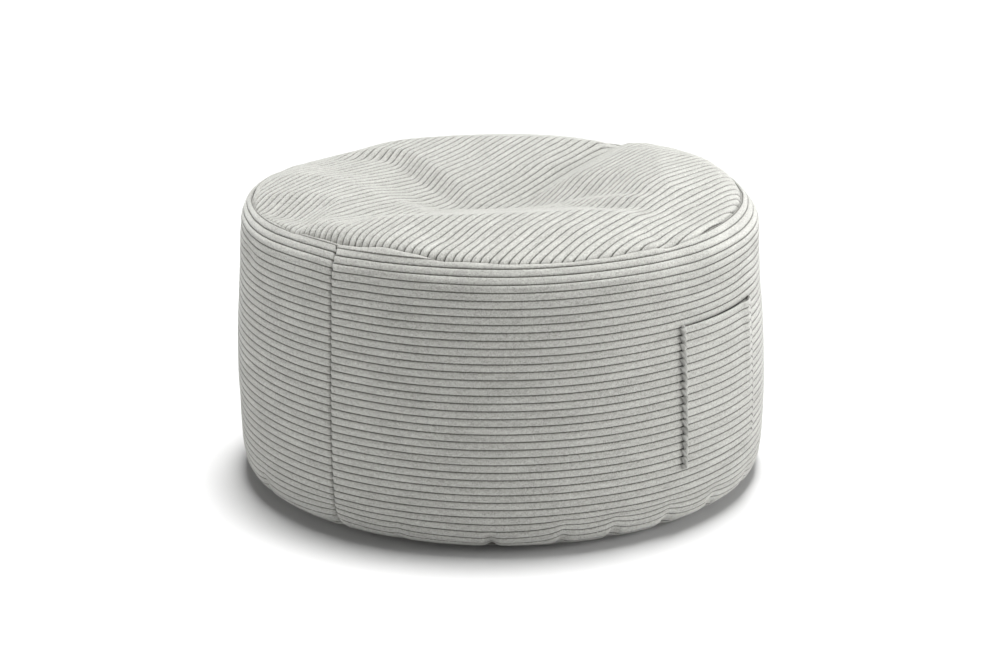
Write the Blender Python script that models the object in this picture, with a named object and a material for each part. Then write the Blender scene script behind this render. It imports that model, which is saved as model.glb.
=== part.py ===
"""Round bean bag footstool in wide-wale corduroy: a filled side band with a crowned top, a sewn-on
top panel and base panel, and a patch pocket on its side.

Run with: blender --background --python part.py

The stool stands on z = 0 with its axis on Z. Its front faces -Y. An angle round the axis starts at
the front and grows towards +X. Sizes are in metres unless a table's comment says otherwise.
"""

import math

import bpy
import mathutils
import numpy as np

GAP = 0.0003
# Under the top panel it is measured straight up, so the slopes of the folds need a little more.
TOP_GAP = 0.00042
CLOTH = 0.003

BELT_RADIUS = 0.300
TOP_SEAM_RADIUS = 0.2728
TOP_SEAM_HEIGHT = 0.3157
BASE_RADIUS = 0.266

# The side band's outline from the base seam to the top seam: how high, and how far from the axis.
SIDE_OUTLINE = (
    # height, radius
    (0.0033, 0.2690),
    (0.0042, 0.2765),
    (0.0072, 0.2852),
    (0.0130, 0.2920),
    (0.0220, 0.2962),
    (0.0400, 0.2986),
    (0.0700, 0.2998),
    (0.1100, BELT_RADIUS),
    (0.1600, 0.2979),
    (0.2100, 0.2945),
    (0.2500, 0.2920),
    (0.2800, 0.2900),
    (0.2960, 0.2872),
    (0.3060, 0.2822),
    (0.3112, 0.2768),
    (TOP_SEAM_HEIGHT - CLOTH - TOP_GAP, TOP_SEAM_RADIUS - CLOTH / 2),
)

# How far the top seam hangs below its even height, in millimetres, by degrees round the axis.
# Below zero it is pulled up. The side follows it down to where the hang has faded out.
SEAM_DROPS = (
    (-165, 0), (-149, 1), (-136, 4), (-118, 2), (-95, 0), (-76, -1), (-66, -3), (-58, -3.5),
    (-54, -1), (-50, -4.5), (-43, -6.3), (-38, -4), (-33, -5.5), (-26, -10), (-18, -6), (-13, 0),
    (-8, -2), (0, 0.5), (10, 1.5), (24, 0.5), (31, -1.7), (36, -1.5), (40, 3.4), (47, -0.6),
    (55, -2), (62, -2.8), (74, -2.2), (84, -1), (94, -0.5), (120, 0), (149, 2), (165, 0),
)
SEAM_DROP_SOFTNESS = 3.0
HANG_FOOT = 0.240
HANG_FULL = 0.300

# Where the filling pushes the side out (more radius) by height, and how far round that reaches.
SWELLS = (
    # middle and half width in degrees, then heights and the extra radius at each
    (-97, 30, (0.09, 0.13, 0.18, 0.25, 0.29, 0.305), (0.0, 0.002, 0.0032, 0.003, 0.004, 0.0072)),
    (93, 30, (0.19, 0.22, 0.27, 0.29, 0.30, 0.315), (0.0, -0.0014, -0.001, 0.001, 0.0, -0.003)),
    (68, 16, (0.300, 0.3157), (0.0, -0.0028)),
)

# The filling under the top panel, drawn by its crests and valleys. Each line is a chain of points
# in millimetres: x, y and the height above the top seam. The cloth is stretched between the lines.
FILLING_LINES = (
    # the rim, all the way round
    (
        (0, -280, 3), (72, -270, 2), (118, -254, 2), (161, -229, 2.5), (198, -198, 3),
        (228, -162, 3.5), (260, -103, 4.5), (277, -40, 9), (280, 40, 14), (255, 120, 14),
        (205, 190, 11), (152, 235, 0), (80, 268, 2), (0, 280, 2), (-80, 268, 1), (-150, 236, 0),
        (-205, 190, 0), (-250, 126, 1), (-275, 50, 8), (-280, -15, 9), (-274, -60, -5),
        (-258, -110, -4), (-228, -162, 5), (-208, -187, 12), (-180, -214, 15), (-144, -240, 13),
        (-120, -253, 6), (-91, -265, 9), (-63, -273, 9), (-24, -279, 4), (0, -280, 3),
    ),
    # the front puff: its crest, its apron down to the seam, and the floor behind it
    (
        (-205, -170, 13), (-180, -178, 15), (-157, -186, 16.5), (-137, -182, 20),
        (-112, -176, 24), (-80, -178, 24.5), (0, -170, 24.5),
        (50, -160, 23.3), (90, -150, 22.5), (120, -148, 20), (143, -148, 16.5), (170, -150, 9),
        (205, -155, 5),
    ),
    ((-90, -200, 20), (-50, -203, 18.5), (-10, -205, 19.5), (30, -203, 19.5), (70, -198, 18),
     (110, -195, 13), (150, -170, 11)),
    ((-172, -195, 17.5), (-135, -212, 17), (-100, -225, 14.5), (-50, -230, 11.5), (0, -232, 13),
     (80, -220, 12), (150, -185, 8.5)),
    ((-120, -115, 6), (-50, -95, 4), (20, -85, 4), (60, -65, 4)),
    # the hollow in the middle
    ((-70, -20, -13), (-20, -15, -14), (30, -10, -14)),
    # the front left: a crest from the rim that bends round to the front puff, the dip inside the
    # bend, and the valley outside it
    (
        (-262, -32, 9), (-232, -42, 13), (-207, -48, 14.5), (-182, -50, 15), (-176, -68, 14.5),
        (-178, -90, 14), (-184, -116, 13), (-186, -145, 13.5), (-180, -178, 15),
    ),
    ((-160, -163, 12.5), (-163, -138, 10), (-150, -115, 7), (-125, -105, 4)),
    ((-248, -80, -4), (-226, -98, -2), (-213, -125, 1.5), (-212, -150, 4)),
    # the left: a crest from the rim to the middle, and the fall behind it
    (
        (-228, 38, 15.5), (-203, 25, 16), (-185, 8, 15.7), (-166, -6, 14), (-142, -22, 9.8),
        (-115, -30, 2.5),
    ),
    ((-215, 100, 8), (-228, 70, 12.5), (-228, 38, 15.5)),
    ((-190, 62, 11), (-165, 85, 8.5), (-140, 60, 6), (-118, 30, 0)),
    # the back left: a valley from the rim to the middle, and the steep face of the back puff
    (
        (-250, 126, 2), (-215, 128, 6), (-182, 130, 7), (-152, 133, 6), (-130, 128, 4.5),
        (-114, 102, 1), (-97, 68, -3.5), (-76, 38, -8), (-58, 10, -12), (-45, -8, -14),
    ),
    (
        (-205, 152, 5), (-183, 152, 9), (-160, 153, 13.5), (-136, 150, 16), (-106, 134, 15.5),
        (-82, 96, 11.5), (-62, 66, 6), (-48, 40, 0), (-36, 15, -6),
    ),
    # the back puff and its slope to the middle
    ((-150, 170, 13), (-120, 185, 17), (-50, 190, 20), (50, 190, 19.5), (112, 190, 14)),
    ((-30, 110, 8), (20, 105, 6.5), (50, 110, 6)),
    # the back right: a gully from the rim to the middle, and the steep face of the right puff
    (
        (142, 210, -1), (119, 164, 3), (94, 122, 0.5), (72, 90, -3.5), (54, 60, -7.5),
        (40, 30, -11), (30, 0, -14),
    ),
    (
        (150, 178, 15), (140, 138, 16), (122, 104, 16), (103, 74, 14.5), (88, 50, 12.5),
        (78, 30, 8), (75, 10, 2),
    ),
    # the right puff: its near side, crest and shoulder
    ((156, 120, 20.5), (148, 50, 21.5), (150, -15, 24), (160, -50, 22.5)),
    ((174, 182, 14.5), (182, 110, 22), (182, 40, 25.5), (183, -15, 26), (186, -50, 23)),
    ((224, 90, 20), (234, 10, 18), (234, -50, 11)),
    # the right puff's front edge, the foot of it, and the crease in front of it
    (
        (55, -18, -8), (80, -35, 2), (105, -56, 10), (130, -76, 17), (170, -88, 17),
        (200, -98, 10.5), (235, -112, 5),
    ),
    ((92, -17, 0), (117, -42, 9), (143, -60, 16), (176, -74, 18), (215, -85, 8.5)),
    ((65, -55, 1), (93, -86, 7), (125, -102, 10), (160, -116, 12.5), (200, -134, 5.5)),
)
LINE_STEP = 0.009
FILLING_GRID = 0.0025
FILLING_REACH = 0.300
FILLING_SOFTNESS = 0.006
# How suddenly the crown, the seam's hang and the side's swell fade out from the top's edge.
CROWN_SHOULDER = 20
SEAM_DROP_SHOULDER = 9
SWELL_SHOULDER = 3

# The upright seam that closes the side band.
SEAM_ANGLE = math.radians(-37.7)
SEAM_HALF_WIDTH = 0.006
SEAM_DEPTH = 0.0018
SEAM_CLEAR_WIDTH = 0.013

# The pocket: its upright edges, its lower edge and mouth, and how far its middle stands off. The
# belly makes it fuller across for a smaller power, and the reach is the share of its height in
# which it comes away from the side.
POCKET_LEFT = math.radians(39.8)
POCKET_RIGHT = math.radians(66.6)
POCKET_BOTTOM = 0.0725
POCKET_MOUTH = 0.232
POCKET_GAPE = 0.0084
POCKET_BELLY = 0.6
POCKET_REACH = 0.625
POCKET_SEAT = 0.00035
POCKET_CLOTH = 0.0025

SEGMENTS = 75
SIDE_ROWS = 14
CROWN_ROWS = 13
CROWN_CROWDING = 1.3
SHARP_EDGE = math.radians(50)
POCKET_COLUMNS = 14
POCKET_ROWS = 10

CORDUROY = (0.60, 0.60, 0.57)
BASE_CORDUROY = (0.54, 0.54, 0.51)
ROUGHNESS = 0.9


def clear_scene():
    """Removes every object that the file starts with."""
    for item in list(bpy.data.objects):
        bpy.data.objects.remove(item, do_unlink=True)


def angles_round():
    """Even angles round the axis, with three close together at the upright seam."""
    even = np.linspace(-math.pi, math.pi, SEGMENTS, endpoint=False)
    kept = even[np.abs(even - SEAM_ANGLE) > SEAM_CLEAR_WIDTH / BELT_RADIUS]
    beside = SEAM_HALF_WIDTH / BELT_RADIUS
    seam = [SEAM_ANGLE - beside, SEAM_ANGLE, SEAM_ANGLE + beside]
    return np.sort(np.concatenate([kept, seam]))


def swell(angle, height):
    """The extra radius of the side where the filling pushes it out."""
    extra = 0.0
    for middle, half_width, heights, amounts in SWELLS:
        away = (np.degrees(angle) - middle + 180.0) % 360.0 - 180.0
        bell = np.exp(-((away / half_width) ** 2))
        extra = extra + bell * np.interp(height, heights, amounts)
    return extra


def side_radius(angle, height):
    """The side band's radius at an angle and a height: straight lines between the outline's rows,
    and the swell."""
    heights, radii = zip(*SIDE_OUTLINE)
    return np.interp(height, heights, radii) + swell(angle, height)


def side_rows():
    """Heights and radii of the side band's rings: the outline's own rows, and even ones between
    them where they lie far apart."""
    outline = np.array(SIDE_OUTLINE)
    run = np.concatenate([[0.0], np.cumsum(np.hypot(*np.diff(outline, axis=0).T))])
    even = np.linspace(0.0, run[-1], SIDE_ROWS)
    near = np.abs(even[:, None] - run[None, :]).min(axis=1) < run[-1] / SIDE_ROWS / 2
    stations = np.sort(np.concatenate([run, even[~near]]))
    return np.interp(stations, run, outline[:, 0]), np.interp(stations, run, outline[:, 1])


def blur_matrix(places, spread, turn=None):
    """A matrix that blurs values at even places by a bell of this spread. Turn is the length of a
    full turn, for places that meet themselves."""
    apart = np.abs(places[:, None] - places[None, :])
    if turn is not None:
        apart = np.minimum(apart, turn - apart)
    bell = np.exp(-0.5 * (apart / spread) ** 2)
    return bell / bell.sum(axis=1, keepdims=True)


def seam_drop_table():
    """The hang of the top seam every degree, in metres, with its corners blurred."""
    turns, drops = np.array(SEAM_DROPS, dtype=float).T
    places = np.arange(0.0, 360.0, 1.0)
    table = np.interp(places, turns % 360.0, drops, period=360.0) / 1000.0
    return places, blur_matrix(places, SEAM_DROP_SOFTNESS, 360.0) @ table


def seam_drop(angle):
    """How far the top seam hangs at an angle."""
    return np.interp(np.degrees(angle) % 360.0, *seam_drops, period=360.0)


def hang_share(height):
    """The share of the seam's hang that the side takes at a height: 0 low down, 1 near the top."""
    return np.clip((height - HANG_FOOT) / (HANG_FULL - HANG_FOOT), 0.0, 1.0)


def line_points(line):
    """Points every few millimetres along a smooth curve through a line's own points: each stretch
    is the cubic that leaves and arrives along its neighbours' directions."""
    given = np.array(line, dtype=float) / 1000.0
    padded = np.concatenate([[2 * given[0] - given[1]], given, [2 * given[-1] - given[-2]]])
    stretches = []
    for before, start, stop, after in zip(padded, padded[1:], padded[2:], padded[3:]):
        count = max(1, round(math.dist(start[:2], stop[:2]) / LINE_STEP))
        share = (np.arange(count) / count)[:, None]
        linear_part = 2 * start + (stop - before) * share
        square_part = (2 * before - 5 * start + 4 * stop - after) * share**2
        cube_part = (3 * start - before - 3 * stop + after) * share**3
        stretches.append(0.5 * (linear_part + square_part + cube_part))
    return np.concatenate([*stretches, given[-1:]])


def filling_table():
    """Heights of the filling above the top seam on an even grid: the lines' points are joined in
    triangles, each triangle is filled flat, and the whole is blurred a little."""
    points = np.concatenate([line_points(line) for line in FILLING_LINES])
    plan = [mathutils.Vector(point) for point in points[:, :2]]
    joined = mathutils.geometry.delaunay_2d_cdt(plan, [], [], 0, 1e-5)
    corners = np.array([tuple(corner) for corner in joined[0]])
    heights = points[[sources[0] for sources in joined[3]], 2]
    places = np.arange(-FILLING_REACH, FILLING_REACH + FILLING_GRID / 2, FILLING_GRID)
    table = np.zeros((len(places), len(places)))
    x, y = np.meshgrid(places, places)
    for triangle in joined[2]:
        first, second, third = corners[list(triangle)]
        (ax, ay), (bx, by) = second - first, third - first
        size = ax * by - bx * ay
        if abs(size) < 1e-9:
            continue
        to_second = ((x - first[0]) * by - bx * (y - first[1])) / size
        to_third = (ax * (y - first[1]) - (x - first[0]) * ay) / size
        inside = (to_second > -1e-6) & (to_third > -1e-6) & (to_second + to_third < 1 + 1e-6)
        flat = heights[list(triangle)]
        height = flat[0] + to_second * (flat[1] - flat[0]) + to_third * (flat[2] - flat[0])
        table[inside] = height[inside]
    blur = blur_matrix(places, FILLING_SOFTNESS)
    return blur @ table @ blur.T


def filling_height(x, y):
    """The filling's height above the top seam, between the four nearest places of its grid."""
    last = len(filling_heights) - 1.001
    column = np.clip((x + FILLING_REACH) / FILLING_GRID, 0.0, last)
    row = np.clip((y + FILLING_REACH) / FILLING_GRID, 0.0, last)
    left, low = column.astype(int), row.astype(int)
    right_share, high_share = column - left, row - low
    lower = filling_heights[low, left] * (1.0 - right_share)
    lower = lower + filling_heights[low, left + 1] * right_share
    upper = filling_heights[low + 1, left] * (1.0 - right_share)
    upper = upper + filling_heights[low + 1, left + 1] * right_share
    return lower * (1.0 - high_share) + upper * high_share


def top_height(radius, angle):
    """The top panel's upper surface: the filling, which drops to the seam at its edge, and the
    hang of the seam, which fades away from it."""
    x = radius * np.sin(angle)
    y = -radius * np.cos(angle)
    share = np.clip(radius / TOP_SEAM_RADIUS, 0.0, 1.0)
    drop = seam_drop(angle) * share**SEAM_DROP_SHOULDER
    return TOP_SEAM_HEIGHT - drop + filling_height(x, y) * (1.0 - share**CROWN_SHOULDER)


def top_points(radius, angle, height):
    """Points of the top, moved out where the top seam's ring is wider than a circle."""
    share = radius / TOP_SEAM_RADIUS
    return ring_points(radius + swell(angle, TOP_SEAM_HEIGHT) * share**SWELL_SHOULDER, angle, height)


def ring_points(radius, angle, height):
    """Points at cylindrical coordinates, as an array that ends in x, y, z."""
    radius, angle, height = np.broadcast_arrays(radius, angle, height)
    return np.stack([radius * np.sin(angle), -radius * np.cos(angle), height], axis=-1)


def seam_dip(angle):
    """How far the upright seam draws the side band in at an angle: a narrow bell."""
    return SEAM_DEPTH * np.exp(-(((angle - SEAM_ANGLE) * BELT_RADIUS / SEAM_HALF_WIDTH) ** 2))


def material(name, colour):
    """A plain matt cloth in one colour."""
    made = bpy.data.materials.new(name)
    made.use_nodes = True
    shader = made.node_tree.nodes["Principled BSDF"]
    shader.inputs["Base Color"].default_value = (*colour, 1.0)
    shader.inputs["Roughness"].default_value = ROUGHNESS
    shader.inputs["Metallic"].default_value = 0.0
    return made


def add_object(name, points, faces, cloth):
    """A smooth mesh object in the scene, with its cloth."""
    mesh = bpy.data.meshes.new(name)
    mesh.from_pydata(points.tolist(), [], faces)
    mesh.validate()
    mesh.shade_smooth()
    mesh.set_sharp_from_angle(angle=SHARP_EDGE)
    mesh.materials.append(cloth)
    bpy.context.scene.collection.objects.link(bpy.data.objects.new(name, mesh))


def lathe_faces(rings, around, outward):
    """Quads between rings, and a fan at each end to its pole. The lower pole is the point after
    the rings, and the upper pole is the one after it. The first quads of the outward count start
    at another corner, so that two sheets that lie on each other bend along the same diagonals."""
    low_pole = rings * around
    high_pole = low_pole + 1
    faces = []
    for ring in range(rings - 1):
        for step in range(around):
            beside = (step + 1) % around
            low, high = ring * around, (ring + 1) * around
            quad = (low + step, low + beside, high + beside, high + step)
            faces.append(quad[1:] + quad[:1] if ring < outward else quad)
    last = (rings - 1) * around
    for step in range(around):
        beside = (step + 1) % around
        faces.append((low_pole, beside, step))
        faces.append((high_pole, last + step, last + beside))
    return faces


def lathe_object(name, rings, poles, cloth, outward=0):
    """A closed solid from rings of points and the two points that close its ends."""
    count, around = rings.shape[:2]
    points = np.concatenate([rings.reshape(-1, 3), poles])
    add_object(name, points, lathe_faces(count, around, outward), cloth)


def crown_radii(edge):
    """Radii from the edge to just off the axis, closer together near the edge."""
    share = np.linspace(0.0, 1.0, CROWN_ROWS + 1)[:-1]
    return edge * (1.0 - share**CROWN_CROWDING)


def build_side_band(cloth):
    """The filled solid: flat under the base panel, round at its lower edge, drawn in towards the
    top seam, and crowned under the top panel."""
    angle = angles_round()[None, :]
    heights, radii = side_rows()
    heights, radii = heights[:, None], radii[:, None]
    hung = heights - seam_drop(angle) * hang_share(heights)
    side = ring_points(radii + swell(angle, heights) - seam_dip(angle), angle, hung)
    edge = radii[-1, 0]
    rim = top_height(np.full((1, 1), edge), angle) - CLOTH - TOP_GAP
    side[-1:] = top_points(np.full((1, 1), edge), angle, rim)
    crown = crown_radii(edge)[1:, None]
    under = top_height(crown, angle) - CLOTH - TOP_GAP
    top = top_points(crown, angle, under)
    middle = top_height(np.zeros(1), np.zeros(1))[0] - CLOTH - TOP_GAP
    poles = [(0.0, 0.0, heights[0, 0]), (0.0, 0.0, middle)]
    lathe_object("side_band", np.concatenate([side, top]), poles, cloth)


def build_top_panel(cloth):
    """The round sheet on the crown, of even thickness, with its cut edge at the seam."""
    angle = angles_round()[None, :]
    radii = crown_radii(TOP_SEAM_RADIUS - CLOTH / 2)[:, None]
    upper = top_height(radii, angle)
    above = top_points(radii, angle, upper)
    below = top_points(radii[::-1], angle, upper[::-1] - CLOTH)
    middle = top_height(np.zeros(1), np.zeros(1))[0]
    poles = [(0.0, 0.0, middle - CLOTH), (0.0, 0.0, middle)]
    lathe_object("top_panel", np.concatenate([below, above]), poles, cloth, len(below) - 1)


def build_base_panel(cloth):
    """The flat round sheet that stands on the floor."""
    angle = angles_round()[None, :]
    low = ring_points(BASE_RADIUS, angle, np.zeros((1, 1)))
    high = ring_points(BASE_RADIUS, angle, np.full((1, 1), CLOTH))
    poles = [(0.0, 0.0, 0.0), (0.0, 0.0, CLOTH)]
    lathe_object("base_panel", np.concatenate([low, high]), poles, cloth)


def pocket_stand_off(across, up):
    """How far the pocket's inner face stands off the side: none at its sewn edges, and most in
    the middle of its mouth."""
    belly = np.clip(np.sin(math.pi * across), 0.0, 1.0) ** POCKET_BELLY
    rise = np.sin(math.pi / 2 * np.clip(up / POCKET_REACH, 0.0, 1.0))
    return POCKET_SEAT + POCKET_GAPE * belly * rise


def build_side_pocket(cloth):
    """The patch on the side band, a curved sheet of even thickness, open at its mouth."""
    across = np.linspace(0.0, 1.0, POCKET_COLUMNS + 1)[None, :]
    up = np.linspace(0.0, 1.0, POCKET_ROWS + 1)[:, None]
    angle = POCKET_LEFT + (POCKET_RIGHT - POCKET_LEFT) * across
    height = POCKET_BOTTOM + (POCKET_MOUTH - POCKET_BOTTOM) * up
    inner = side_radius(angle, height) + pocket_stand_off(across, up)
    rows, columns = inner.shape
    inside = ring_points(inner, angle, height).reshape(-1, 3)
    outside = ring_points(inner + POCKET_CLOTH, angle, height).reshape(-1, 3)
    grid = np.arange(rows * columns).reshape(rows, columns)
    shift = rows * columns
    faces = []
    for row in range(rows - 1):
        for column in range(columns - 1):
            a, b = int(grid[row, column]), int(grid[row, column + 1])
            c, d = int(grid[row + 1, column + 1]), int(grid[row + 1, column])
            faces.append((a + shift, b + shift, c + shift, d + shift))
            faces.append((a, d, c, b))
    rim = [*grid[0, :-1], *grid[:-1, -1], *grid[-1, :0:-1], *grid[:0:-1, 0]]
    for here, there in zip(rim, rim[1:] + rim[:1]):
        faces.append((int(here), int(there), int(there) + shift, int(here) + shift))
    add_object("side_pocket", np.concatenate([inside, outside]), faces, cloth)


clear_scene()
seam_drops = seam_drop_table()
filling_heights = filling_table()
corduroy = material("corduroy", CORDUROY)
base_corduroy = material("base_corduroy", BASE_CORDUROY)
build_side_band(corduroy)
build_top_panel(corduroy)
build_base_panel(base_corduroy)
build_side_pocket(corduroy)
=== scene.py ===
"""Round bean bag footstool in wide-wale corduroy: its filled side band, top panel, base panel and
side pocket, with a plain floor, soft light and a camera.

The stool stands on z = 0 with its axis on Z and its front faces -Y. An angle round the axis starts
at the front and grows towards +X. Sizes are in metres unless a table's comment says otherwise.
"""

import math

import bpy
import mathutils
import numpy as np
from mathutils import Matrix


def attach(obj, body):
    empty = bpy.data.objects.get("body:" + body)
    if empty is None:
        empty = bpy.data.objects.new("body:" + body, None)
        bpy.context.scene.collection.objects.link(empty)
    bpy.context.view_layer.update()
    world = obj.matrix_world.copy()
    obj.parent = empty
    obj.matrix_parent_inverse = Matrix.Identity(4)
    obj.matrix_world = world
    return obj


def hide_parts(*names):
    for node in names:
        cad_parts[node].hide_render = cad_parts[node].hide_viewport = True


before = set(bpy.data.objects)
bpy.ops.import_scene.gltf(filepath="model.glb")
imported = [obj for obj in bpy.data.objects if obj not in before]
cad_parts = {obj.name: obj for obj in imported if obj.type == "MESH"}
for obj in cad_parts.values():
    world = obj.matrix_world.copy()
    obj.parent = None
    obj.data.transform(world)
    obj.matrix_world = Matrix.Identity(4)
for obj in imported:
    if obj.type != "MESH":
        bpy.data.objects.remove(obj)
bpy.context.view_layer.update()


# Side band: one strip of heavy cotton corduroy with its wales lying round the stool, filled with
# beads. It is drawn in to the top seam, where its turned edge stands up as a low ridge, and eased
# into the base seam in small tucks. One upright seam closes it.
WALE_PITCH = 0.0084
WALE_RELIEF = 0.0013
WALE_ROUNDNESS = 3.2
WALE_STATIONS = (0.0, 0.1, 0.3, 0.5, 0.7, 0.9)
WALE_STRAY = 0.00016
WALE_STRAY_WAVES = (
    # share, waves in a turn, wave's length down the side, start
    (1.0, 5, 0.061, 0.0),
    (0.8, 11, -0.043, 2.0),
)

TOP_SEAM_HEIGHT = 0.3157
TOP_SEAM_RADIUS = 0.2728
BELT_RADIUS = 0.300
BASE_HEIGHT = 0.0033
SIDE_OUTLINE = (
    # height, radius, from the base seam up to the turned edge inside the top seam
    (BASE_HEIGHT, 0.2560),
    (BASE_HEIGHT, 0.2690),
    (0.0042, 0.2765),
    (0.0072, 0.2852),
    (0.0130, 0.2920),
    (0.0220, 0.2962),
    (0.0400, 0.2986),
    (0.0700, 0.2998),
    (0.1100, BELT_RADIUS),
    (0.1600, 0.2979),
    (0.2100, 0.2945),
    (0.2500, 0.2920),
    (0.2800, 0.2900),
    (0.2960, 0.2872),
    (0.3060, 0.2822),
    (0.3120, 0.2785),
    (0.3152, 0.2758),
    (0.3158, 0.2742),
    (0.3140, 0.2728),
    (0.3100, 0.2710),
    (0.3050, 0.2660),
    (0.3020, 0.2560),
)
OUTLINE_STEP = 0.0005
OUTLINE_SMOOTHING = 0.006
SLOPE_STEP = 0.001
FIRST_GROOVE_HEIGHT = 0.3103
FIRST_SHOWN_PHASE = -2.8
# Runs down the outline between which the wales' relief starts, outside the ridge, and its last
# length before the base seam. Then the same for the wales' strays, sags and climb.
RIDGE_RUN = (0.0190, 0.0225)
RELIEF_END = 0.012
FREE_RUN = (0.002, 0.010)
FREE_END = 0.014

# How far the top seam hangs below its even height, in millimetres, by degrees round the axis.
# Below zero it is pulled up.
SEAM_DROPS = (
    (-165, 0), (-149, 1), (-136, 4), (-118, 2), (-95, 0), (-76, -1), (-66, -3), (-58, -3.5),
    (-54, -1), (-50, -4.5), (-43, -6.3), (-38, -4), (-33, -5.5), (-26, -10), (-18, -6), (-13, 0),
    (-8, -2), (0, 0.5), (10, 1.5), (24, 0.5), (31, -1.7), (36, -1.5), (40, 3.4), (47, -0.6),
    (55, -2), (62, -2.8), (74, -2.2), (84, -1), (94, -0.5), (120, 0), (149, 2), (165, 0),
)
SEAM_DROP_SOFTNESS = 1.2
SEAM_RIPPLES = (
    # height, waves in a turn, start
    (0.000235, 31, 0.0),
    (0.000165, 47, 1.0),
)
# Runs between which the outline starts to hang with the seam, and those between which it stops.
HANG_STARTS = (0.0, 0.012)
HANG_ENDS = (0.05, 0.20)

# Where the filling pushes the side out (more radius) by height, and how far round that reaches.
SWELLS = (
    # middle and half width in degrees, then heights and the extra radius at each
    (-97, 30, (0.09, 0.13, 0.18, 0.25, 0.29, 0.305), (0.0, 0.002, 0.0032, 0.003, 0.004, 0.0072)),
    (93, 30, (0.19, 0.22, 0.27, 0.29, 0.30, 0.315), (0.0, -0.0014, -0.001, 0.001, 0.0, -0.003)),
    (68, 16, (0.300, 0.3157), (0.0, -0.0028)),
)
# Soft places in the side.
SIDE_DENTS = (
    # middle in degrees and height, half sizes, dent (below zero a swell), sag of the wales
    (-73, 0.272, 5, 0.012, 0.0030, 0.0),
    (-37, 0.290, 5, 0.040, 0.0, 0.0016),
    (-68, 0.290, 18, 0.060, 0.0, 0.0026),
    (47, 0.280, 10, 0.030, 0.0010, 0.0026),
    (66, 0.258, 5, 0.018, 0.0, -0.0020),
    (72, 0.275, 4, 0.016, 0.0018, 0.0010),
    (18, 0.225, 20, 0.060, -0.0006, 0.0),
    (-20, 0.130, 22, 0.060, 0.0008, 0.0),
    (118, 0.240, 14, 0.040, 0.0022, 0.0020),
    (165, 0.275, 9, 0.030, 0.0025, 0.0022),
    (-128, 0.270, 10, 0.030, 0.0022, 0.0024),
)

# The upright seam: the part of a wale by which the wales miss each other at it after their turn
# round the stool, its place and slant, its furrow, and the scallops and ends of the wales.
WALE_CLIMB = 0.33
SEAM_ANGLE = math.radians(-37.7)
SEAM_SLANT = math.radians(0.5)
SEAM_SLANT_REACH = 0.05
SEAM_DEPTH = 0.0014
SEAM_HALF_WIDTH = 0.0013
SEAM_SCALLOP = 0.0022
SEAM_SCALLOP_REACH = 0.004
WALE_END = 0.0034
# Columns of points: their lengths round the belt beside the seam, their spacing at the front and
# at the back, and how far round the front reaches.
SEAM_STEPS = (0.0003, 0.0009, 0.0016, 0.0024, 0.0033, 0.0044, 0.0060, 0.0080, 0.0110)
FRONT_STEP = 0.0047
BACK_STEP = 0.0086
FRONT_REACH = math.radians(104)

# Where the band is eased into the base seam.
BASE_TUCKS = (
    # degrees round the axis, rise of the wales, degrees it reaches before and after, depth
    (-166, 0.0040, 4, 8, 0.0034),
    (-141, 0.0046, 6, 4, 0.0030),
    (-119, 0.0040, 4, 8, 0.0036),
    (-97, 0.0050, 6, 5, 0.0030),
    (-80, 0.0030, 4, 5, 0.0030),
    (-62, 0.0032, 3, 3, 0.0034),
    (-37.7, 0.0050, 10, 13, 0.0024),
    (-22, 0.0012, 3, 3, 0.0016),
    (-2.4, -0.0012, 7, 5, 0.0060),
    (12.4, 0.0046, 3, 5, 0.0036),
    (23.7, 0.0058, 5, 5, 0.0040),
    (36.8, 0.0066, 6, 6, 0.0044),
    (50.5, 0.0060, 4, 8, 0.0036),
    (66, 0.0036, 5, 5, 0.0030),
    (84, 0.0046, 5, 7, 0.0034),
    (104, 0.0040, 7, 5, 0.0036),
    (127, 0.0050, 5, 8, 0.0030),
    (149, 0.0042, 6, 5, 0.0036),
    (171, 0.0050, 5, 6, 0.0030),
)
# The wales start to rise to a tuck below one height and rise most at another, in a peak with a
# rounded tip. The tuck's own notch is lower and narrower. Each scales its column of the table.
TUCK_TOP = 0.050
TUCK_FULL_HEIGHT = 0.010
TUCK_PEAK_ROUNDING = 0.02
TUCK_RISE_STRENGTH = 1.84
TUCK_NOTCH_TOP = 0.035
TUCK_NOTCH_HALF_WIDTH = 0.0055
TUCK_NOTCH_STRENGTH = 1.9

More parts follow.
